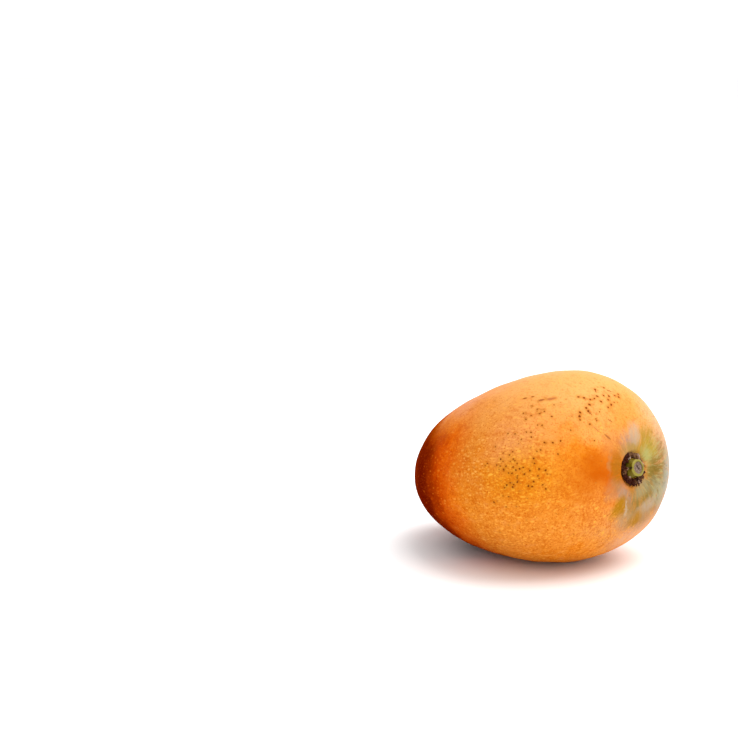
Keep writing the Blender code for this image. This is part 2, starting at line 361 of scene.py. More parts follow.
class MangoStageSettings(bpy.types.PropertyGroup):
    """The floor, the light and the camera."""

    camera_place: point("Camera place", "Where the camera stands", (0.48434, -0.51671, 0.20131))
    azimuth: angle("Azimuth", "Angle of the view round the fruit", 48.5)
    elevation: angle("Elevation", "Angle of the view above the horizon", 10)
    lens: FloatProperty(name="Lens", description="Focal length in mm", default=85)
    sensor: FloatProperty(name="Sensor", description="Sensor width in mm", default=36)
    floor_side: length("Floor side", "Side of the floor", 40000)
    floor_colour: colour("Floor colour", "Pale floor", (0.9, 0.9, 0.9))
    surround: share("Surround", "Brightness of the white surround", 1.22, 10)
    dim_colour: colour("Dim colour", "Colour of the surround's dim side", (0.12, 0.06, 0.03))
    dim_edge: share("Dim edge", "Where the dim side starts, as a cosine", 0.32)
    dim_core: share("Dim core", "Where the dim side is dimmest, as a cosine", 0.8)
    dim_back: share("Dim back", "How far the dim side lies behind the fruit", 0.4)
    dim_low: share("Dim low", "How far the dim side lies below the view's middle", 0.25)
    key_power: share("Key power", "Power of the large soft light in watts", 40, 1000)
    key_side: length("Key side", "Side of the large soft light", 2000)
    key_place: point("Key place", "Where the large soft light hangs", (0.35, 0.75, 1.7))


class Wire:
    """A node's output in an expression: maths on it adds nodes, and 1 - mask works too."""

    def __init__(self, socket):
        self.socket = socket

    def math(self, operation, first, second=None, third=None):
        """Add a Math node to the tree that this output belongs to."""
        made = self.socket.id_data.nodes.new("ShaderNodeMath")
        made.operation = operation
        for slot, value in zip(made.inputs, (first, second, third)):
            plug(made, slot, value)
        return Wire(made.outputs[0])

    def __add__(self, other):
        return self.math("ADD", self, other)

    def __radd__(self, other):
        return self.math("ADD", other, self)

    def __sub__(self, other):
        return self.math("SUBTRACT", self, other)

    def __rsub__(self, other):
        return self.math("SUBTRACT", other, self)

    def __mul__(self, other):
        return self.math("MULTIPLY", self, other)

    def __rmul__(self, other):
        return self.math("MULTIPLY", other, self)

    def __truediv__(self, other):
        return self.math("DIVIDE", self, other)

    def __pow__(self, other):
        return self.math("POWER", self, other)

    def __abs__(self):
        return self.math("ABSOLUTE", self)

    def log2(self):
        return self.math("LOGARITHM", self, 2)

    def least(self, other):
        return self.math("MINIMUM", self, other)

    def most(self, other):
        return self.math("MAXIMUM", self, other)

    def held(self):
        """The value held between 0 and 1."""
        return self.most(0).least(1)


def plug(made, slot, value):
    """Set a socket's value, or link an output to it."""
    if value is None:
        return
    if isinstance(value, Wire):
        made.id_data.links.new(value.socket, slot)
    elif slot.type == "RGBA" and len(value) == 3:
        slot.default_value = (*value, 1)
    else:
        slot.default_value = value


class Finish:
    """One material and the nodes that make it."""

    def __init__(self, name):
        self.material = bpy.data.materials.new(name)
        self.material.use_nodes = True
        self.nodes = self.material.node_tree.nodes
        self.nodes.clear()

    @classmethod
    def of_tree(cls, tree):
        """The same helpers on the surround's tree."""
        made = cls.__new__(cls)
        made.nodes = tree.nodes
        made.nodes.clear()
        return made

    def node(self, kind, settings, sockets, output=0):
        """Add a node: its type, its settings, then the values or links of its sockets."""
        made = self.nodes.new(kind)
        for name, value in settings.items():
            setattr(made, name, value)
        for name, value in sockets.items():
            plug(made, made.inputs[name], value)
        return Wire(made.outputs[output])

    def attribute(self, name, output="Fac"):
        return self.node("ShaderNodeAttribute", {"attribute_name": name}, {}, output)

    def vector(self, operation, first, second, output="Vector"):
        settings = {"operation": operation}
        return self.node("ShaderNodeVectorMath", settings, {0: first, 1: second}, output)

    def scaled(self, vector, factor):
        return self.node(
            "ShaderNodeVectorMath", {"operation": "SCALE"}, {0: vector, "Scale": factor}
        )

    def split(self, vector):
        made = self.nodes.new("ShaderNodeSeparateXYZ")
        plug(made, made.inputs[0], vector)
        return [Wire(output) for output in made.outputs]

    def joined(self, x, y, z):
        return self.node("ShaderNodeCombineXYZ", {}, {0: x, 1: y, 2: z})

    def mix(self, under, over, mask, mode="MIX"):
        settings = {"data_type": "RGBA", "blend_type": mode}
        return self.node("ShaderNodeMix", settings, {0: mask, 6: under, 7: over}, 2)

    def step(self, value, low, high, to_low=0, to_high=1):
        """A smooth step from low to high, which may also run down."""
        settings = {"interpolation_type": "SMOOTHSTEP"}
        sockets = {0: value, 1: low, 2: high, 3: to_low, 4: to_high}
        return self.node("ShaderNodeMapRange", settings, sockets)

    def clouds(self, place, size, detail=2, roughness=0.5, output=0):
        """Noise whose features are about this size, in the units of the place."""
        sockets = {
            "Vector": place, "Scale": 1 / size, "Detail": detail, "Roughness": roughness
        }
        return self.node("ShaderNodeTexNoise", {"noise_dimensions": "3D"}, sockets, output)

    def cells(self, place, size, output="Distance"):
        """Cells about this size, in the units of the place."""
        sockets = {"Vector": place, "Scale": 1 / size}
        return self.node("ShaderNodeTexVoronoi", {"feature": "F1"}, sockets, output)

    def surface(self, varying, constant):
        """End in a Principled surface with varying sockets and constant ones."""
        shader = self.node("ShaderNodeBsdfPrincipled", {}, {**varying, **constant})
        end = self.nodes.new("ShaderNodeOutputMaterial")
        plug(end, end.inputs["Surface"], shader)
        return self.material

    def bump(self, height, strength, distance):
        """Raised detail that feeds a Normal socket."""
        sockets = {"Height": height, "Strength": strength, "Distance": distance}
        return self.node("ShaderNodeBump", {}, sockets)


def directions(from_stem, around):
    """Unit vectors at angles from the stem axis, turned round it from +Y towards +Z."""
    polar = np.radians(from_stem)
    turn = np.radians(around)
    side = np.sin(polar)
    return np.stack([np.cos(polar), side * np.cos(turn), side * np.sin(turn)], axis=-1)


def bent_axis(fruit, along):
    """How far the fruit's bent axis lies to +Y and up, from 1 at the stem to -1 at the apex."""
    to_apex = (1 - along) / 2
    to_stem = 1 - to_apex
    side = fruit.apex_side * to_apex ** 2 + fruit.stem_side * to_stem ** 2
    up = fruit.apex_up * to_apex ** 2 + fruit.stem_up * to_stem ** 2
    return side, up


def skin_points(fruit, units):
    """Points of the skin for unit vectors, in the fruit's own frame with the stem at +X."""
    along, across, through = units.T
    reach = np.minimum(np.abs(along), 1 - TINY)
    power = np.where(along > 0, fruit.stem_fullness, fruit.apex_fullness)
    full = np.sqrt((1 - reach ** power) / (1 - reach ** 2))
    side, up = bent_axis(fruit, along)
    broad = fruit.breadth / 2 * (1 + fruit.breadth_taper * along)
    thick = fruit.thickness / 2 * (1 + fruit.thickness_taper * along)
    points = np.stack([
        fruit.length / 2 * along,
        broad * across * full + side,
        thick * through * full + up + fruit.cheek_rise * through ** 2,
    ], axis=-1)
    outward = points / np.linalg.norm(points, axis=1)[:, None]
    swell = np.zeros(len(points))
    for from_stem, around, wide, height in SWELLINGS.values():
        nearness = np.clip(outward @ directions(from_stem, around), -1, 1)
        swell += height * np.exp(-(np.degrees(np.arccos(nearness)) / wide) ** 2)
    points += outward * swell[:, None]
    beside = np.hypot(points[:, 1] - fruit.stem_side, points[:, 2] - fruit.stem_up)
    basin = fruit.basin_depth * np.exp(-(beside / fruit.basin_reach) ** 2)
    points[:, 0] -= np.where(along > 0, basin, 0)
    return points


def skin_point(fruit, from_stem, around):
    """One point of the skin at angles in degrees."""
    return skin_points(fruit, directions(from_stem, around)[None, :])[0]


def lying(fruit, points):
    """Matrix that lays the fruit on its cheek, in the middle of the solid fruit's box."""
    turn = Euler((fruit.rolled_back, -fruit.stem_end_raised, 0), "XYZ").to_matrix()
    laid = points @ np.array(turn).T
    low, high = laid.min(axis=0), laid.max(axis=0)
    move = (Vector(FRUIT_BOX[0]) + Vector(FRUIT_BOX[1]) - Vector(low) - Vector(high)) / 2
    move.z = FRUIT_BOX[1].z - high[2]
    return Matrix.Translation(move) @ turn.to_4x4()


def lying_now(fruit):
    """The same matrix, found from evenly spread points of the smooth skin."""
    polar, turn = np.meshgrid(np.linspace(1, 179, 90), np.linspace(0, 358, 180))
    return lying(fruit, skin_points(fruit, directions(polar.ravel(), turn.ravel())))


def stem_seat(fruit):
    """Matrix in the fruit's frame of the foot of the basin, with its Z along the stem."""
    lean = Euler((0, math.radians(90) - fruit.stem_lean, 0), "XYZ").to_matrix()
    return Matrix.Translation(skin_point(fruit, 0, 0)) @ lean.to_4x4()


def moved(matrix, points):
    """Points carried by a matrix."""
    turn = np.array(matrix.to_3x3())
    return points @ turn.T + np.array(matrix.translation)


def smooth_step(values, low, high):
    """Rise smoothly from 0 at low to 1 at high."""
    share_of = np.clip((values - low) / (high - low), 0, 1)
    return share_of ** 2 * (3 - 2 * share_of)


def ball(cuts):
    """A cube cut into even squares and blown up into a unit ball, as an open bmesh."""
    shape = bmesh.new()
    bmesh.ops.create_cube(shape, size=2)
    bmesh.ops.subdivide_edges(shape, edges=shape.edges[:], cuts=cuts, use_grid_fill=True)
    return shape


def placed(name, data):
    """Make an object of a mesh, a light or a camera, and put it in the scene."""
    made = bpy.data.objects.new(name, data)
    bpy.context.scene.collection.objects.link(made)
    return made


def mesh_piece(name, shape, material):
    """Make an object of a bmesh, shaded round, and free the bmesh."""
    mesh = bpy.data.meshes.new(name)
    bmesh.ops.recalc_face_normals(shape, faces=shape.faces)
    shape.to_mesh(mesh)
    shape.free()
    mesh.shade_smooth()
    mesh.materials.append(material)
    return placed(name, mesh)


def bridge(shape, rings):
    """Join rings of corners with squares."""
    for inner, outer in zip(rings, rings[1:]):
        for side in range(len(inner)):
            after = (side + 1) % len(inner)
            shape.faces.new((inner[side], outer[side], outer[after], inner[after]))


def rippled(value, turns, ripples, phases):
    """A value that goes up and down round a turn; each ripple has a number and a height."""
    for (number, height), phase in zip(ripples, phases):
        value = value + height * np.sin(number * turns + phase)
    return value


def places(mesh):
    """The mesh's vertices as an array."""
    found = np.zeros(len(mesh.vertices) * 3)
    mesh.vertices.foreach_get("co", found)
    return found.reshape(-1, 3)


def put(mesh, points):
    """Give the mesh's vertices new places."""
    mesh.vertices.foreach_set("co", points.astype(np.float32).ravel())
    mesh.update()


def normals(mesh):
    """The mesh's vertex normals as an array."""
    found = np.zeros(len(mesh.vertices) * 3, np.float32)
    mesh.vertex_normals.foreach_get("vector", found)
    return found.reshape(-1, 3).astype(float)


def keep(mesh, name, values):
    """Store a number or a vector for each vertex, for the finish to read."""
    kind, field = ("FLOAT_VECTOR", "vector") if values.ndim == 2 else ("FLOAT", "value")
    layer = mesh.attributes.new(name, kind, "POINT")
    layer.data.foreach_set(field, values.astype(np.float32).ravel())


def waves(points, shortest, longest, number, seed):
    """Slow uneven waves between about -1 and 1, the same each run."""
    draw = np.random.default_rng(seed)
    total = np.zeros(len(points))
    for _ in range(number):
        way = draw.normal(size=3)
        way *= math.tau / (np.linalg.norm(way) * draw.uniform(shortest, longest))
        total += np.sin(points @ way + draw.uniform(0, math.tau))
    return total / math.sqrt(number)


# Waves, folds and scar of the skin
WAVE_SHORTEST = 9 * MM
WAVE_LONGEST = 26 * MM
WAVE_NUMBER = 28
WAVE_SEED = 3
WAVE_LEVEL = 1.6
RIDGE_TURNS = (7, 11, 16, 23)
RIDGE_NEAR = 8 * MM
RIDGE_FAR = 24 * MM
RIDGE_PHASE = 1.7
# The stem's folds and scar stay above this height over its seat, as a share of the length
STEM_END = -0.3
# Where the scar's floor ends and the skin begins, as shares of the scar's radius
SCAR_EDGE = (0.8, 1.08)
FLOOR_ROUNDING = 0.12 * MM
RING_CROWDING = 0.4
ARC_STEPS = 181


def relief(fruit, points, turn, beside, height):
    """How far the skin stands from its smooth form: waves, folds at the stem and the scar."""
    lift = fruit.undulation * (
        waves(points, WAVE_SHORTEST, WAVE_LONGEST, WAVE_NUMBER, WAVE_SEED) - WAVE_LEVEL
    )
    folds = sum(np.sin(number * turn + RIDGE_PHASE * number) for number in RIDGE_TURNS)
    near_stem = smooth_step(beside, 0.6 * RIDGE_NEAR, RIDGE_NEAR)
    near_stem *= 1 - smooth_step(beside, RIDGE_NEAR, RIDGE_FAR)
    near_stem *= height > STEM_END * fruit.length
    return lift + fruit.ridge * folds / len(RIDGE_TURNS) * near_stem


def make_skin(fruit, material):
    """The whole skin as one closed mesh of even squares, crowded at the stem."""
    shape = ball(fruit.cuts)
    units = np.array([vertex.co for vertex in shape.verts])
    units = np.tan(units * math.pi / 4)
    units /= np.linalg.norm(units, axis=1)[:, None]
    polar = np.arccos(np.clip(units[:, 0], -1, 1))
    polar -= RING_CROWDING * np.sin(polar)
    turn = np.arctan2(units[:, 2], units[:, 1])
    units = directions(np.degrees(polar), np.degrees(turn))
    points = skin_points(fruit, units)
    laying = lying(fruit, points)

    piece = mesh_piece("mango_skin", shape, material)
    mesh = piece.data
    put(mesh, points)
    seat = np.array(stem_seat(fruit))
    from_seat = points - seat[:3, 3]
    height = from_seat @ seat[:3, 2]
    beside = np.linalg.norm(from_seat - height[:, None] * seat[:3, 2], axis=1)
    grown = points + normals(mesh) * relief(fruit, points, turn, beside, height)[:, None]
    inner, outer = (part * fruit.scar_radius for part in SCAR_EDGE)
    sunk = fruit.scar_depth * (1 - smooth_step(beside, inner, outer))
    sunk *= height > STEM_END * fruit.length
    grown -= sunk[:, None] * seat[:3, 2]

    laid = moved(laying, grown)
    laid[:, 2] = (laid[:, 2] + np.sqrt(laid[:, 2] ** 2 + FLOOR_ROUNDING ** 2)) / 2
    put(mesh, laid)

    steps = np.linspace(0, 180, ARC_STEPS)
    line = skin_points(fruit, directions(steps, np.full(ARC_STEPS, 180)))
    lengths = np.concatenate([[0], np.cumsum(np.linalg.norm(np.diff(line, axis=0), axis=1))])
    arc = np.interp(np.degrees(polar), steps, lengths) / MM
    keep(mesh, "grown", points / MM)
    keep(mesh, "flow", np.stack([arc, np.cos(turn), np.sin(turn)], axis=-1))
    side, up = bent_axis(fruit, units[:, 0])
    keep(mesh, "girth", np.hypot(points[:, 1] - side, points[:, 2] - up) / MM)
    return piece, laying


def camera_axes(stage):
    """The camera's right, up and forward directions."""
    azimuth, elevation = stage.azimuth, stage.elevation
    right = Vector((math.cos(azimuth), math.sin(azimuth), 0))
    forward = Vector((
        -math.sin(azimuth) * math.cos(elevation),
        math.cos(azimuth) * math.cos(elevation),
        -math.sin(elevation),
    ))
    return right, right.cross(forward), forward


class SkinTree:
    """Finds places on the finished skin, from the camera or from any point near it."""

    def __init__(self, skin, stage):
        faces = [tuple(face.vertices) for face in skin.data.polygons]
        self.tree = BVHTree.FromPolygons([v.co for v in skin.data.vertices], faces)
        self.eye = Vector(stage.camera_place)
        self.axes = camera_axes(stage)
        self.pixels = stage.lens / stage.sensor * 2 * PHOTO_HALF

    def seen_at(self, pixel):
        """Place and normal of the skin at a pixel of the photograph."""
        right, up, forward = self.axes
        over = (pixel[0] - PHOTO_HALF) / self.pixels
        down = (pixel[1] - PHOTO_HALF) / self.pixels
        way = forward + right * over - up * down
        place, normal, _, _ = self.tree.ray_cast(self.eye, way.normalized())
        if place is None:
            raise RuntimeError(f"pixel {pixel} misses the skin")
        return place, normal

    def nearest(self, point):
        place, normal, _, _ = self.tree.find_nearest(point)
        return place, normal


# Rings of a speck as shares of its size, and the ripples of its edge
LENS_RINGS = (0.35, 0.65, 0.88, 1)
SPECK_RIPPLES = ((2, 0.12), (3, 0.08))


class Marks:
    """Small closed lens shapes, half sunk in the skin, gathered in one mesh."""

    def __init__(self, specks, tree):
        self.specks = specks
        self.tree = tree
        self.draw = np.random.default_rng(specks.seed)
        self.shape = bmesh.new()
        self.core = self.shape.verts.layers.float.new("core")
        self.red = self.shape.verts.layers.float.new("red")
        self.places = []

    def corner(self, point, lift, core, red):
        place, normal = self.tree.nearest(point)
        vertex = self.shape.verts.new(place + normal * lift)
        vertex[self.core] = core
        vertex[self.red] = red
        return vertex

    def add(self, middle, normal, way, half_long, half_wide, widening=0, red=0):
        """Add one mark that lies along a direction of the skin."""
        specks = self.specks
        long_way = (way - normal * way.dot(normal)).normalized()
        wide_way = normal.cross(long_way)
        wobble = self.draw.uniform(0, math.tau, 2)
        rings = []
        for part in LENS_RINGS:
            lift = specks.height * (1 - part ** 2) - specks.sink * part ** 2
            ring = []
            for side in range(specks.sides):
                turn = math.tau * side / specks.sides
                uneven = rippled(1, turn, SPECK_RIPPLES, wobble)
                over = half_long * part * uneven * math.cos(turn)
                wide = 1 - widening * math.cos(turn)
                across = half_wide * part * uneven * math.sin(turn) * wide
                point = middle + long_way * over + wide_way * across
                ring.append(self.corner(point, lift, 1 - part, red))
            rings.append(ring)
        top = self.corner(middle, specks.height, 1, red)
        foot = self.corner(middle, -3 * specks.sink, 0, red)
        bridge(self.shape, rings)
        for side in range(specks.sides):
            after = (side + 1) % specks.sides
            self.shape.faces.new((top, rings[0][side], rings[0][after]))
            self.shape.faces.new((foot, rings[-1][after], rings[-1][side]))
        spread = max(1, half_long / half_wide)
        for step in np.linspace(-0.8, 0.8, int(2 * spread) + 1):
            self.places.append((middle + long_way * (half_long * step), half_wide / spread ** 0.5))


def add_photo_specks(marks):
    """The specks that the photograph shows, where it shows them."""
    for radius, pixels in SPECKS.values():
        for pixel in pixels:
            middle, normal = marks.tree.seen_at(pixel)
            size = radius * marks.draw.uniform(0.85, 1.15)
            way = Vector(marks.draw.normal(size=3))
            marks.add(middle, normal, way, size * marks.draw.uniform(1, 1.3), size)


def add_streaks(marks):
    """The short streaks and the healed scratch."""
    for start, end, half_wide, widening, red in STREAKS.values():
        first, _ = marks.tree.seen_at(start)
        last, _ = marks.tree.seen_at(end)
        middle, normal = marks.tree.nearest((first + last) / 2)
        way = last - first
        marks.add(middle, normal, way, way.length / 2, half_wide, widening, red)


# Angle from the stem, angle round the fruit, and reach in millimetres
CLUSTER_CENTRES = ((49, 172, 11), (38, 105, 9), (55, 131, 8), (70, -20, 10))
FINE_SPECK = 0.16 * MM
CLEAR_OF_FLOOR = 1.5 * MM
CLEAR_OF_BLUSH = 4 * MM


def add_scattered(marks, fruit, laying):
    """Fine specks about the clusters, and lone ones over the whole skin."""
    draw = marks.draw
    spots = []
    for from_stem, around, reach in CLUSTER_CENTRES:
        centre = skin_point(fruit, from_stem, around)
        for _ in range(marks.specks.around_clusters):
            spots.append(centre + draw.normal(size=3) * reach * 0.6 * MM)
    for _ in range(marks.specks.scattered):
        unit = draw.normal(size=3)
        unit /= np.linalg.norm(unit)
        spots.append(skin_points(fruit, unit[None, :])[0])
    for spot in spots:
        middle, normal = marks.tree.nearest(Vector(moved(laying, spot[None, :])[0]))
        if middle.z < CLEAR_OF_FLOOR or spot[0] < CLEAR_OF_BLUSH:
            continue
        size = FINE_SPECK * draw.uniform(0.7, 1.5)
        way = Vector(draw.normal(size=3))
        marks.add(middle, normal, way, size, size, red=draw.uniform(0.2, 0.9))


HALO_REACH = 0.9 * MM


def stain_skin(skin, marks):
    """Store a soft brown halo round each mark on the skin's vertices."""
    points = places(skin.data)
    halo = np.zeros(len(points))
    for place, size in marks.places:
        away = np.linalg.norm(points - np.array(place), axis=1)
        halo += size / HALO_REACH * np.exp(-(away / (0.4 * HALO_REACH + size)) ** 2)
    keep(skin.data, "stain", np.minimum(halo, 1))


GIRTH_BANDS = (2.8, 5.6, 11.2, 22.4, 44.8)


def pores(finish, flow, girth, size, stretch, low, high):
    """Dashes that point from the stem to the apex, kept at one size by bands of girth."""
    arc, over, up = finish.split(flow)
    octave = girth.most(GIRTH_BANDS[0]).least(GIRTH_BANDS[-1]).log2()
    total = None
    for band in GIRTH_BANDS:
        place = finish.joined(arc / stretch, over * band, up * band)
        away = finish.cells(place, size)
        kind = finish.split(finish.cells(place, size, "Color"))[0]
        part = 1 - abs(octave - math.log2(band))
        part = part.held() * finish.step(away + kind * 0.24, high, low)
        total = part if total is None else total + part
    return total


def patch(finish, fruit, place, from_stem, around, half_long, half_wide, soft, strength, turned=0):
    """How strongly a patch shows at a place: its strength in its middle, 0 outside."""
    middle = Vector(skin_point(fruit, from_stem, around))
    away = finish.vector("SUBTRACT", place, middle / MM)
    total = finish.vector("DOT_PRODUCT", away, away, "Value")
    if half_long == half_wide:
        squared = total / half_wide ** 2
    else:
        outward = (middle - Vector(skin_point(fruit, 0, 0))).normalized()
        way = Matrix.Rotation(math.radians(turned), 3, middle) @ outward
        along = finish.vector("DOT_PRODUCT", away, way, "Value") ** 2
        squared = along / half_long ** 2 + (total - along) / half_wide ** 2
    return finish.step(squared ** 0.5, 1 + soft, 1 - soft, 0, strength)


def patched(finish, fruit, colours, place, paint, patches, cover=None):
    """Lay the patches of a table over the paint, one after another."""
    for name, (*form, tint, strength) in patches.items():
        mask = patch(finish, fruit, place, *form, strength, TURNED.get(name, 0))
        paint = finish.mix(paint, getattr(colours, tint), mask if cover is None else mask * cover)
    return paint


def wandering(finish, place, size, reach):
    """The place moved about by slow noise, so that what is drawn there has uneven edges."""
    drift = finish.clouds(place, size, 3, 0.6, "Color")
    drift = finish.vector("SUBTRACT", drift, (0.5, 0.5, 0.5))
    return finish.vector("ADD", place, finish.scaled(drift, reach))


def ground_paint(finish, fruit, colours, grown):
    """The broad colours under the blush: amber with a pale crown that is partly painted sheen, a
    pink flank with a painted sheen band, and painted shade beside the stem and under the fruit.
    """
    slow = finish.clouds(grown, 16)
    paint = finish.mix(colours.amber, colours.deep_and_shade, finish.step(slow, 0.45, 0.75) * 0.3)
    drifting = wandering(finish, grown, 14, 24)
    return patched(finish, fruit, colours, drifting, paint, BROAD_PATCHES)


def blush(finish, fruit, colours, grown, paint, thin):
    """A yellow glaze in the middle, and red ones by the apex that are thin on the pores and kept
    off the crown and the flank band with their painted sheen; the deepest red darkens the apex end
    as blush and as painted shade.
    """
    to_apex, _, high = finish.split(wandering(finish, grown, 9, 16))
    nearby = wandering(finish, grown, 6, 6)
    crown = patch(finish, fruit, grown, *MASKS["unblushed crown"])
    flank = patch(finish, fruit, nearby, *MASKS["unblushed flank"])
    side_only = (1 - crown) * (1 - flank) * (1 - thin)
    flame = finish.step(to_apex, 14, -12) * side_only
    # The deep red at the apex is partly blush and partly painted shade, eased off towards the
    # hidden tip
    ember_and_shade = finish.step(to_apex + high * 0.13, 3, -23) * side_only
    ember_and_shade = ember_and_shade * finish.step(to_apex, -24, -54, 1, 0.62)
    middle = patch(finish, fruit, nearby, *MASKS["yellow middle"])
    paint = finish.mix(paint, colours.honey, middle, "MULTIPLY")
    paint = finish.mix(paint, colours.flame, flame, "MULTIPLY")
    return finish.mix(paint, colours.ember_and_shade, ember_and_shade, "MULTIPLY")


def stem_paint(finish, fruit, colours, grown, flow, paint):
    """The green end, with its wax, its spots and the pale rays that run out of the stem."""
    nearby = wandering(finish, wandering(finish, grown, 8, 5), 1.6, 2.4)
    rays = finish.clouds(finish.vector("MULTIPLY", flow, (0.1, 8, 8)), 1, 3, 0.65)
    rayed = finish.step(rays, 0.3, 0.58, 0.5, 1)
    paint = patched(finish, fruit, colours, nearby, paint, STEM_PATCHES, rayed)
    green = patch(finish, fruit, nearby, *MASKS["green end"])
    thin = finish.clouds(finish.vector("MULTIPLY", flow, (0.22, 15, 15)), 1, 2, 0.6)
    paint = finish.mix(paint, colours.ray, green * finish.step(thin, 0.52, 0.68) * 0.65)
    return finish.mix(paint, colours.bark, green * finish.step(thin, 0.46, 0.32) * 0.4)


def skin_finish(fruit, colours):
    """Ripe skin: broad colours, mottling, red pits, the green end, pores, blush and stains."""
    finish = Finish("mango skin")
    grown, flow = (finish.attribute(name, "Vector") for name in ("grown", "flow"))
    girth, stain = map(finish.attribute, ("girth", "stain"))
    paint = ground_paint(finish, fruit, colours, grown)

    # The crown mask thins the dark mottle and pits under the crown's painted sheen; the apex and
    # hollow-shade masks hold back the pale mottle and pores where shade is painted
    lower, crown, flank, apex, hollow, stem_end = (
        patch(finish, fruit, grown, *MASKS[name])
        for name in ("lower cheek", "crown", "flank", "apex", "hollow", "stem end")
    )
    lit = (0.55 + lower) * (1 - crown * 0.45) * (1 - apex) * (1 - hollow)
    mottle = finish.clouds(finish.vector("MULTIPLY", grown, (0.6, 1, 1)), 2.6, 3, 0.6)
    paint = finish.mix(paint, colours.peach, finish.step(mottle, 0.5, 0.7) * lit * 0.55)
    paint = finish.mix(paint, colours.deep_and_shade, finish.step(mottle, 0.49, 0.32) * (0.44 - crown * 0.22))

    pale = pores(finish, flow, girth, 2.2, 1.6, 0.14, 0.37)
    small = pores(finish, flow, girth, 1.15, 1.8, 0.14, 0.52)
    pits = finish.step(finish.cells(grown, 0.95), 0.42, 0.12)
    fine = finish.clouds(grown, 0.8, 3, 0.7)
    pitted = pits * 0.6 + finish.step(fine, 0.48, 0.28) * 0.65
    paint = finish.mix(paint, colours.pit, (pitted * (1 - crown * 0.55)).held())
    paint = stem_paint(finish, fruit, colours, grown, flow, paint)
    lit = lit * (1 - stem_end)
    paint = finish.mix(paint, colours.fleck, (finish.step(fine, 0.52, 0.7) * lit * 0.65).held())
    paint = finish.mix(paint, colours.fleck, (small * lit * 0.7).held())
    paint = finish.mix(paint, colours.fleck, (pale * lit * 0.8).held())
    bloom = (small * 0.4 + pale * 0.35) * flank
    paint = finish.mix(paint, colours.blossom, bloom.held())
    paint = blush(finish, fruit, colours, grown, paint, (pale * 0.32 + small * 0.2).held())
    paint = finish.mix(paint, colours.stain, stain * 0.6)

    along, _, up = finish.split(grown)
    wax = finish.step(up + (along * 0.4).least(along * 0.9), -2, 14) * 0.9

    height = pale * 0.5 + small * 0.4 - pits * 0.4 + fine * 0.5
    rough = 0.44 + (fine - 0.5) * 0.14 + pale * 0.06
    normal = finish.bump(height, 0.5, 0.1 * MM)
    return finish.surface(
        {"Base Color": paint, "Roughness": rough, "Normal": normal, "Coat Weight": wax},
        {"Specular IOR Level": 0, "Coat Roughness": 0.35, "Coat IOR": 1.08},
    )


def speck_finish(colours):
    """Dark middle that fades to brown at the edge, or a red brown streak."""
    finish = Finish("mango specks")
    core, red = map(finish.attribute, ("core", "red"))
    dark = finish.mix(colours.speck, colours.streak, red)
    edge = finish.mix(colours.stain, colours.gold, red * 0.6)
    paint = finish.mix(edge, dark, finish.step(core, 0, 0.3 + red * 0.3))
    return finish.surface({"Base Color": paint}, {"Roughness": 0.55, "Specular IOR Level": 0.02})


# Clumps of the dried calyx in the frame of the stem's seat, where 0 degrees is downwards and 90
# to the right: turn, radius, half length outwards, half width, half height in millimetres, tone
CLUMPS = {
    "upper left": (-150, 5.9, 1.1, 1, 1, 0),
    "left high": (-122, 5.5, 1.2, 1.1, 1.3, 0),
    "left": (-90, 5.3, 1.3, 1.2, 1.5, 0),
    "lower left": (-62, 5.5, 1.2, 1, 1.3, 0),
    "low left": (-36, 5.3, 1.3, 1, 1.4, 0),
    "bottom": (-6, 5.5, 1.4, 1, 1.2, 0),
    "bottom right": (26, 5.6, 1.3, 0.9, 1, 0.05),
    "low right": (58, 5.6, 1.1, 0.9, 0.8, 0.2),
    "right": (90, 5.5, 0.8, 1.1, 0.5, 0.45),
    "right high": (118, 5.5, 0.8, 1.1, 0.5, 0.5),
    "top right": (146, 5.6, 0.9, 1, 0.6, 0.38),
    "top": (174, 5.6, 1, 1, 0.8, 0.25),
}
# Pale broken lumps on the crust, partly painted highlights, with the height of each in place of its
# half height
PALE_AND_HIGHLIGHT_LUMPS = {
    "upper left": (-157, 4.7, 1.2, 0.7, 0.7, 0.9),
    "low left": (-50, 4.9, 0.9, 0.6, 1, 0.9),
    "bottom": (12, 5.6, 0.8, 0.4, 1.3, 0.6),
    "left": (-96, 4.6, 0.9, 0.5, 1.2, 0.85),
}
SCRAPS = 6
SCRAP_SHADES = (-0.1, 0, 0, 0.1, 0.35)
PRONG_TURNS = (-118, -96, -71, -49, -27, -14, 2, 15, 31, 47, 66)
TONE_REACH = 0.55 * MM
RING_BEADS = 48
RING_DEPTH = 0.3 * MM
RING_BEAD = (1.25 * MM, 1.25 * MM, 0.7 * MM, 1)
# Size and depth of each layer of the crust's noise
CRUST_ROUGHNESS = ((0.95 * MM, 0.24 * MM), (0.38 * MM, 0.12 * MM), (0.17 * MM, 0.04 * MM))


def crust_lump(turn, row, height, size, tilt, swing=0):
    """Matrix of one lump: its place round the stem, and its three half sizes in millimetres."""
    round_stem = Matrix.Rotation(math.radians(turn), 4, "Z")
    outward = Matrix.Translation((row * MM, 0, height * MM))
    tipped = Matrix.Rotation(math.radians(tilt), 4, "Y")
    swung = Matrix.Rotation(math.radians(swing), 4, "Z")
    sized = Matrix.Diagonal((*(part * MM for part in size), 1))
    return round_stem @ outward @ (tipped @ swung) @ sized


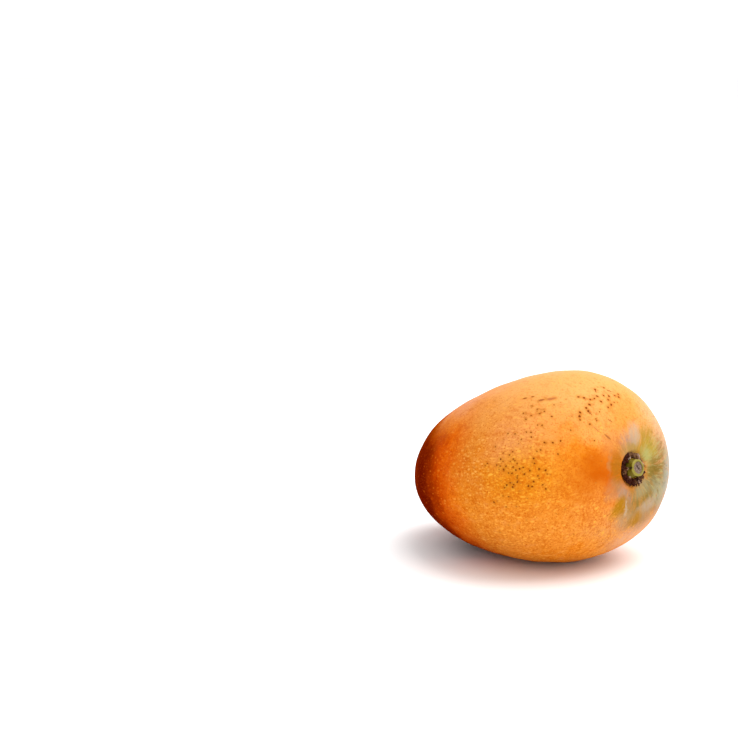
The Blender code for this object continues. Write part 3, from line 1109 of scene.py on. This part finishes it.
def crust_lumps(calyx):
    """Matrix and tone of each lump of the crust, in the frame of the stem's seat."""
    draw = np.random.default_rng(calyx.seed)
    lumps = []
    for turn, row, long_half, wide_half, high_half, tone in CLUMPS.values():
        size = (long_half * 0.8, wide_half * 0.85, high_half * 0.8)
        lumps.append((crust_lump(turn, row, 0, size, 0), tone))
        for _ in range(SCRAPS):
            around = turn + draw.uniform(-15, 15)
            out = row + draw.uniform(-0.75, 0.85)
            part = draw.uniform(0.45, 0.85)
            size = (long_half * part, wide_half * 0.55 * part, high_half * 0.6 * part)
            height = high_half * draw.uniform(0.15, 0.85)
            shade = min(1, max(0, tone + draw.choice(SCRAP_SHADES)))
            tilt, swing = draw.uniform(-55, 35), draw.uniform(-40, 40)
            lumps.append((crust_lump(around, out, height, size, tilt, swing), shade))
    for turn in PRONG_TURNS:
        size = (draw.uniform(0.9, 1.4), draw.uniform(0.2, 0.32), draw.uniform(0.2, 0.32))
        out, height, tilt = draw.uniform(5.9, 6.4), draw.uniform(0.1, 0.5), draw.uniform(-15, 12)
        lumps.append((crust_lump(turn, out, height, size, tilt), 0))
    for turn, row, long_half, wide_half, height, tone in PALE_AND_HIGHLIGHT_LUMPS.values():
        size = (long_half, wide_half, 0.55)
        lumps.append((crust_lump(turn, row, height, size, -35), tone))
    return lumps


def fused(piece, grain):
    """Fuse a piece's overlapping lumps into one skin of small even facets."""
    melt = piece.modifiers.new("fused", "REMESH")
    melt.mode = "VOXEL"
    melt.voxel_size = grain
    graph = bpy.context.evaluated_depsgraph_get()
    mesh = bpy.data.meshes.new_from_object(piece.evaluated_get(graph))
    piece.modifiers.clear()
    mesh.shade_smooth()
    piece.data = mesh


def roughened(mesh):
    """Push the crust's facets in and out by noise."""
    points = places(mesh)
    ways = normals(mesh)
    for size, depth in CRUST_ROUGHNESS:
        lift = np.array([noise.noise(Vector(point / size)) for point in points])
        points = points + ways * (lift * depth)[:, None]
    put(mesh, points)


def make_crust(calyx, seat, material):
    """The dried calyx: clumps, prongs and a low ring of beads, fused and roughened."""
    shape = bmesh.new()
    lumps = crust_lumps(calyx)
    for matrix, _ in lumps:
        bmesh.ops.create_icosphere(shape, subdivisions=3, radius=1, matrix=matrix)
    for step in range(RING_BEADS):
        turn = math.tau * step / RING_BEADS
        over, across = calyx.radius * math.cos(turn), calyx.radius * math.sin(turn)
        bead = Matrix.Translation((over, across, -RING_DEPTH)) @ Matrix.Diagonal(RING_BEAD)
        bmesh.ops.create_icosphere(shape, subdivisions=2, radius=1, matrix=bead)
    piece = mesh_piece("dried_calyx", shape, material)
    fused(piece, calyx.grain)
    mesh = piece.data
    points = places(mesh)
    weights = np.full(len(points), TINY)
    tones = np.zeros(len(points))
    for matrix, tone in lumps:
        away = np.linalg.norm(points - np.array(matrix.translation), axis=1)
        near = np.exp(-(away / TONE_REACH) ** 2)
        weights += near
        tones += near * tone
    roughened(mesh)
    keep(mesh, "tone", tones / weights)
    keep(mesh, "seated", points / MM)
    mesh.transform(seat)
    return piece


def crust_finish(calyx):
    """Dry dark crust with younger brown parts and pale worn edges, the pale lumps partly painted
    highlights.
    """
    finish = Finish("dried calyx")
    tone = finish.attribute("tone")
    place = finish.attribute("seated", "Vector")
    grain = finish.clouds(place, 0.35, 3, 0.65)
    # The pale worn mask also paints the crust's highlights on the pale lumps
    worn = finish.step(tone + (grain - 0.5) * 0.9, 0.45, 0.95)
    paint = finish.mix(calyx.dark, calyx.brown, finish.step(tone + (grain - 0.5) * 0.6, 0.1, 0.5))
    paint = finish.mix(paint, calyx.pale, worn)
    normal = finish.bump(grain, 0.6, 0.1 * MM)
    return finish.surface(
        {"Base Color": paint, "Normal": normal}, {"Roughness": 0.6, "Specular IOR Level": 0.05}
    )


STUB_SIDES = 144
STUB_RINGS = 110
# Lobes and grooves on the stub's side: turn, height, how far out, reach in degrees
LOBES = {
    "low left lobe": (-52, 1 * MM, 1.15 * MM, 24),
    "upper left lobe": (-142, 1.2 * MM, 0.75 * MM, 20),
    "left groove": (-98, 1.8 * MM, -0.75 * MM, 11),
    "low groove": (-18, 1.7 * MM, -0.35 * MM, 7),
    "upper groove": (176, 1.8 * MM, -0.35 * MM, 7),
}
LOBE_HEIGHT = 1 * MM
# Ripples of the stub's outline and of its rim: number round the stub, and height
STUB_RIPPLES = ((2, 0.035), (3, 0.025), (9, 0.012))
RIM_RIPPLES = ((2, 0.1 * MM), (5, 0.07 * MM))
# Shift of the stub's upper half, and the turn, half sizes and depth of the split in its face
FACE_SHIFT = (-0.15 * MM, 0.35 * MM)
SPLIT_TURN = 35
SPLIT_HALF = (1.35 * MM, 0.33 * MM)
SPLIT_DEPTH = 0.35 * MM


def stub_outline(stem):
    """Radius and height of the stub from the middle of its face, over the rim, to its foot."""
    top = stem.height
    face = top - stem.dish
    corners = [
        (0, face), (0.5 * stem.face_radius, face), (0.92 * stem.face_radius, face + 0.03 * MM),
        (stem.face_radius + 0.15 * MM, top - 0.12 * MM), (stem.waist_radius - 0.75 * MM, top),
        (stem.waist_radius - 0.15 * MM, top - 0.25 * MM), (stem.waist_radius, top - 0.8 * MM),
        (stem.waist_radius, 0.45 * top), (stem.foot_radius, 0.1 * top),
        (stem.foot_radius, -0.5 * MM), (0.6 * stem.foot_radius, -0.8 * MM), (0, -0.8 * MM),
    ]
    steps = np.linspace(0, len(corners) - 1, STUB_RINGS)
    smooth = []
    for step in steps:
        index = min(int(step), len(corners) - 2)
        rest = step - index
        before, start, end, after = (
            np.array(corners[min(max(index + offset, 0), len(corners) - 1)])
            for offset in (-1, 0, 1, 2)
        )
        smooth.append(0.5 * (
            2 * start + (end - before) * rest
            + (2 * before - 5 * start + 4 * end - after) * rest ** 2
            + (3 * start - before - 3 * end + after) * rest ** 3
        ))
    return np.array(smooth)


def make_stub(stem, seat, material):
    """The cut stub: an uneven turned form with a dished face, a split, lobes and grooves."""
    draw = np.random.default_rng(stem.seed)
    outline = stub_outline(stem)
    turns = np.linspace(0, math.tau, STUB_SIDES, endpoint=False)
    uneven = rippled(1, turns, STUB_RIPPLES, draw.uniform(0, math.tau, 3))
    wavy = rippled(0, turns, RIM_RIPPLES, draw.uniform(0, math.tau, 2))
    radius = outline[:, 0][:, None] * uneven[None, :]
    height = np.repeat(outline[:, 1][:, None], STUB_SIDES, axis=1)
    on_rim = smooth_step(outline[:, 0], 0.5 * stem.face_radius, stem.waist_radius)[:, None]
    on_rim = on_rim * smooth_step(outline[:, 1], 0.78 * stem.height, 0.95 * stem.height)[:, None]
    height = height + on_rim * wavy[None, :]
    on_side = smooth_step(outline[:, 0], 0.75 * stem.waist_radius, 0.95 * stem.waist_radius)
    groove = np.zeros(height.shape)
    for lobe_turn, lobe_height, lobe_out, reach in LOBES.values():
        off = (np.degrees(turns) - lobe_turn + 180) % 360 - 180
        lobe = np.exp(-(off / reach) ** 2)[None, :]
        lobe = lobe * np.exp(-((height - lobe_height) / LOBE_HEIGHT) ** 2)
        radius = radius + lobe_out * lobe * on_side[:, None]
        if lobe_out < 0:
            groove = np.maximum(groove, lobe * on_side[:, None])
    inward = 1 - smooth_step(outline[:, 0], 0, stem.waist_radius)[:, None]
    above = height > 0.5 * stem.height
    shift_over, shift_across = FACE_SHIFT
    over = radius * np.cos(turns) + shift_over * inward * above
    across = radius * np.sin(turns) + shift_across * inward * above
    turn = math.radians(SPLIT_TURN)
    along = (over - shift_over) * math.cos(turn) + (across - shift_across) * math.sin(turn)
    beside = (across - shift_across) * math.cos(turn) - (over - shift_over) * math.sin(turn)
    split = np.exp(-(beside / SPLIT_HALF[1]) ** 2 - (along / SPLIT_HALF[0]) ** 4) * above
    height = height - SPLIT_DEPTH * split
    face = (1 - smooth_step(radius, 0.85 * stem.face_radius, 1.12 * stem.face_radius)) * above

    shape = bmesh.new()
    rings = []
    for row in range(1, STUB_RINGS - 1):
        rings.append([
            shape.verts.new((over[row, side], across[row, side], height[row, side]))
            for side in range(STUB_SIDES)
        ])
    bridge(shape, rings)
    shape.faces.new(list(reversed(rings[0])))
    shape.faces.new(rings[-1])
    piece = mesh_piece("cut_stem", shape, material)
    mesh = piece.data
    points = places(mesh)
    keep(mesh, "seated", points / MM)
    layers = {"face": face, "split": split, "groove": groove, "rim": on_rim * (1 - face)}
    for name, values in layers.items():
        keep(mesh, name, values[1:-1].ravel())
    mesh.transform(seat)
    return piece


def stub_finish(stem):
    """Green bark with a lime rim, and a dried grey face with a split."""
    finish = Finish("cut stem")
    place = finish.attribute("seated", "Vector")
    face, split, rim, groove = map(finish.attribute, ("face", "split", "rim", "groove"))
    grain = finish.clouds(place, 0.5, 3, 0.6)
    fibre = finish.clouds(place, 0.22, 2, 0.6)
    paint = finish.mix(stem.green, stem.lime, (rim * (0.55 + grain * 0.7)).held())
    paint = finish.mix(paint, stem.split, (groove * 1.3 - 0.2).held() * 0.85)
    paint = finish.mix(paint, stem.grey, face)
    paint = finish.mix(paint, stem.worn, face * finish.step(grain, 0.5, 0.64) * 0.55)
    paint = finish.mix(paint, stem.split, (face * finish.step(fibre, 0.55, 0.3) * 0.5).held())
    paint = finish.mix(paint, stem.split, split)
    normal = finish.bump(grain + fibre * 0.6, 0.5, 0.08 * MM)
    return finish.surface(
        {"Base Color": paint, "Normal": normal}, {"Roughness": 0.5, "Specular IOR Level": 0.12}
    )


def dress(piece, slot, *nodes):
    """Let a piece ride on the fruit, and stand for its solids."""
    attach(piece, BODY)
    if nodes:
        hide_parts(*nodes)


class MangoMakeSkin(bpy.types.Operator):
    """Make the mango's skin, with its specks and healed scratches"""

    bl_idname = "mango.make_skin"
    bl_label = "Skin and specks"

    def execute(self, context):
        scene = context.scene
        fruit, colours = scene.mango_fruit, scene.mango_colours
        skin, laying = make_skin(fruit, skin_finish(fruit, colours))
        marks = Marks(scene.mango_specks, SkinTree(skin, scene.mango_stage))
        add_photo_specks(marks)
        add_streaks(marks)
        add_scattered(marks, fruit, laying)
        stain_skin(skin, marks)
        dress(skin, "skin", "fruit")
        dress(mesh_piece("skin_specks", marks.shape, speck_finish(colours)), "skin")
        return {"FINISHED"}


class MangoMakeStemEnd(bpy.types.Operator):
    """Make the dried calyx and the cut stub of the stem"""

    bl_idname = "mango.make_stem_end"
    bl_label = "Calyx and stem"

    def execute(self, context):
        scene = context.scene
        fruit, calyx, stem = scene.mango_fruit, scene.mango_calyx, scene.mango_stem
        seat = lying_now(fruit) @ stem_seat(fruit)
        dress(make_crust(calyx, seat, crust_finish(calyx)), "calyx", "calyx_ring")
        dress(make_stub(stem, seat, stub_finish(stem)), "stem", "stem_stub")
        return {"FINISHED"}


class MangoMakeStage(bpy.types.Operator):
    """Make the pale floor, the white surround, the soft light and the camera"""

    bl_idname = "mango.make_stage"
    bl_label = "Stage"

    def execute(self, context):
        stage = context.scene.mango_stage
        make_floor(stage)
        make_light(stage)
        make_camera(stage)
        return {"FINISHED"}


def make_floor(stage):
    """A plain pale floor."""
    shape = bmesh.new()
    bmesh.ops.create_grid(shape, x_segments=1, y_segments=1, size=stage.floor_side / 2)
    finish = Finish("pale floor")
    paper = finish.surface(
        {}, {"Base Color": stage.floor_colour, "Roughness": 0.9, "Specular IOR Level": 0.1}
    )
    mesh_piece("floor", shape, paper)


WHITE = (1, 1, 1)


def make_light(stage):
    """A white surround that is dim on one side, and one large soft light above the fruit."""
    world = bpy.data.worlds.new("white surround")
    world.use_nodes = True
    finish = Finish.of_tree(world.node_tree)
    right, up, forward = camera_axes(stage)
    dim_way = (forward * stage.dim_back - right - up * stage.dim_low).normalized()
    way = finish.node("ShaderNodeTexCoord", {}, {}, "Generated")
    toward = finish.vector("DOT_PRODUCT", way, dim_way, "Value")
    dim = finish.step(toward, stage.dim_edge, stage.dim_core)
    light = finish.mix(WHITE, stage.dim_colour, dim)
    seen = finish.node("ShaderNodeLightPath", {}, {}, "Is Camera Ray")
    light = finish.mix(light, WHITE, seen)
    backdrop = finish.node("ShaderNodeBackground", {}, {"Color": light, "Strength": stage.surround})
    end = finish.nodes.new("ShaderNodeOutputWorld")
    plug(end, end.inputs["Surface"], backdrop)
    bpy.context.scene.world = world
    bpy.context.scene.view_settings.view_transform = "Standard"
    lamp = bpy.data.lights.new("soft key", "AREA")
    lamp.shape = "SQUARE"
    lamp.size = stage.key_side
    lamp.energy = stage.key_power
    key = placed("soft_key", lamp)
    key.location = stage.key_place
    key.rotation_euler = (-key.location).to_track_quat("-Z", "Y").to_euler()


def make_camera(stage):
    """The camera at the photograph's place and angle."""
    lens = bpy.data.cameras.new("camera")
    lens.lens = stage.lens
    lens.sensor_width = stage.sensor
    camera = placed("camera", lens)
    camera.location = stage.camera_place
    right, up, forward = camera_axes(stage)
    camera.rotation_euler = Matrix((right, up, -forward)).transposed().to_euler()
    bpy.context.scene.camera = camera


class MangoPanel(bpy.types.Panel):
    """The pieces of the mango and their sizes."""

    bl_idname = "VIEW3D_PT_mango"
    bl_label = "Ripe mango"
    bl_space_type = "VIEW_3D"
    bl_region_type = "UI"
    bl_category = "Mango"

    def draw(self, context):
        for operator, settings in STEPS:
            box = self.layout.box()
            box.operator(operator)
            for group in settings:
                values = getattr(context.scene, group)
                for name in values.bl_rna.properties.keys():
                    if name not in ("name", "rna_type"):
                        box.prop(values, name)


GROUPS = {
    "mango_fruit": MangoFruitSettings,
    "mango_colours": MangoColourSettings,
    "mango_specks": MangoSpeckSettings,
    "mango_calyx": MangoCalyxSettings,
    "mango_stem": MangoStemSettings,
    "mango_stage": MangoStageSettings,
}
STEPS = (
    (MangoMakeStage.bl_idname, ("mango_stage",)),
    (MangoMakeSkin.bl_idname, ("mango_fruit", "mango_colours", "mango_specks")),
    (MangoMakeStemEnd.bl_idname, ("mango_calyx", "mango_stem")),
)
CLASSES = (*GROUPS.values(), MangoMakeStage, MangoMakeSkin, MangoMakeStemEnd, MangoPanel)


def register():
    """Register the classes and hang the settings on the scene."""
    for made in CLASSES:
        bpy.utils.register_class(made)
    for name, group in GROUPS.items():
        setattr(bpy.types.Scene, name, PointerProperty(type=group))


def unregister():
    """Take the settings and the classes away again."""
    for name in GROUPS:
        delattr(bpy.types.Scene, name)
    for made in reversed(CLASSES):
        bpy.utils.unregister_class(made)


def main():
    """Make every piece in order."""
    register()
    bpy.ops.mango.make_stage()
    bpy.ops.mango.make_skin()
    bpy.ops.mango.make_stem_end()


if __name__ == "__main__":
    main()
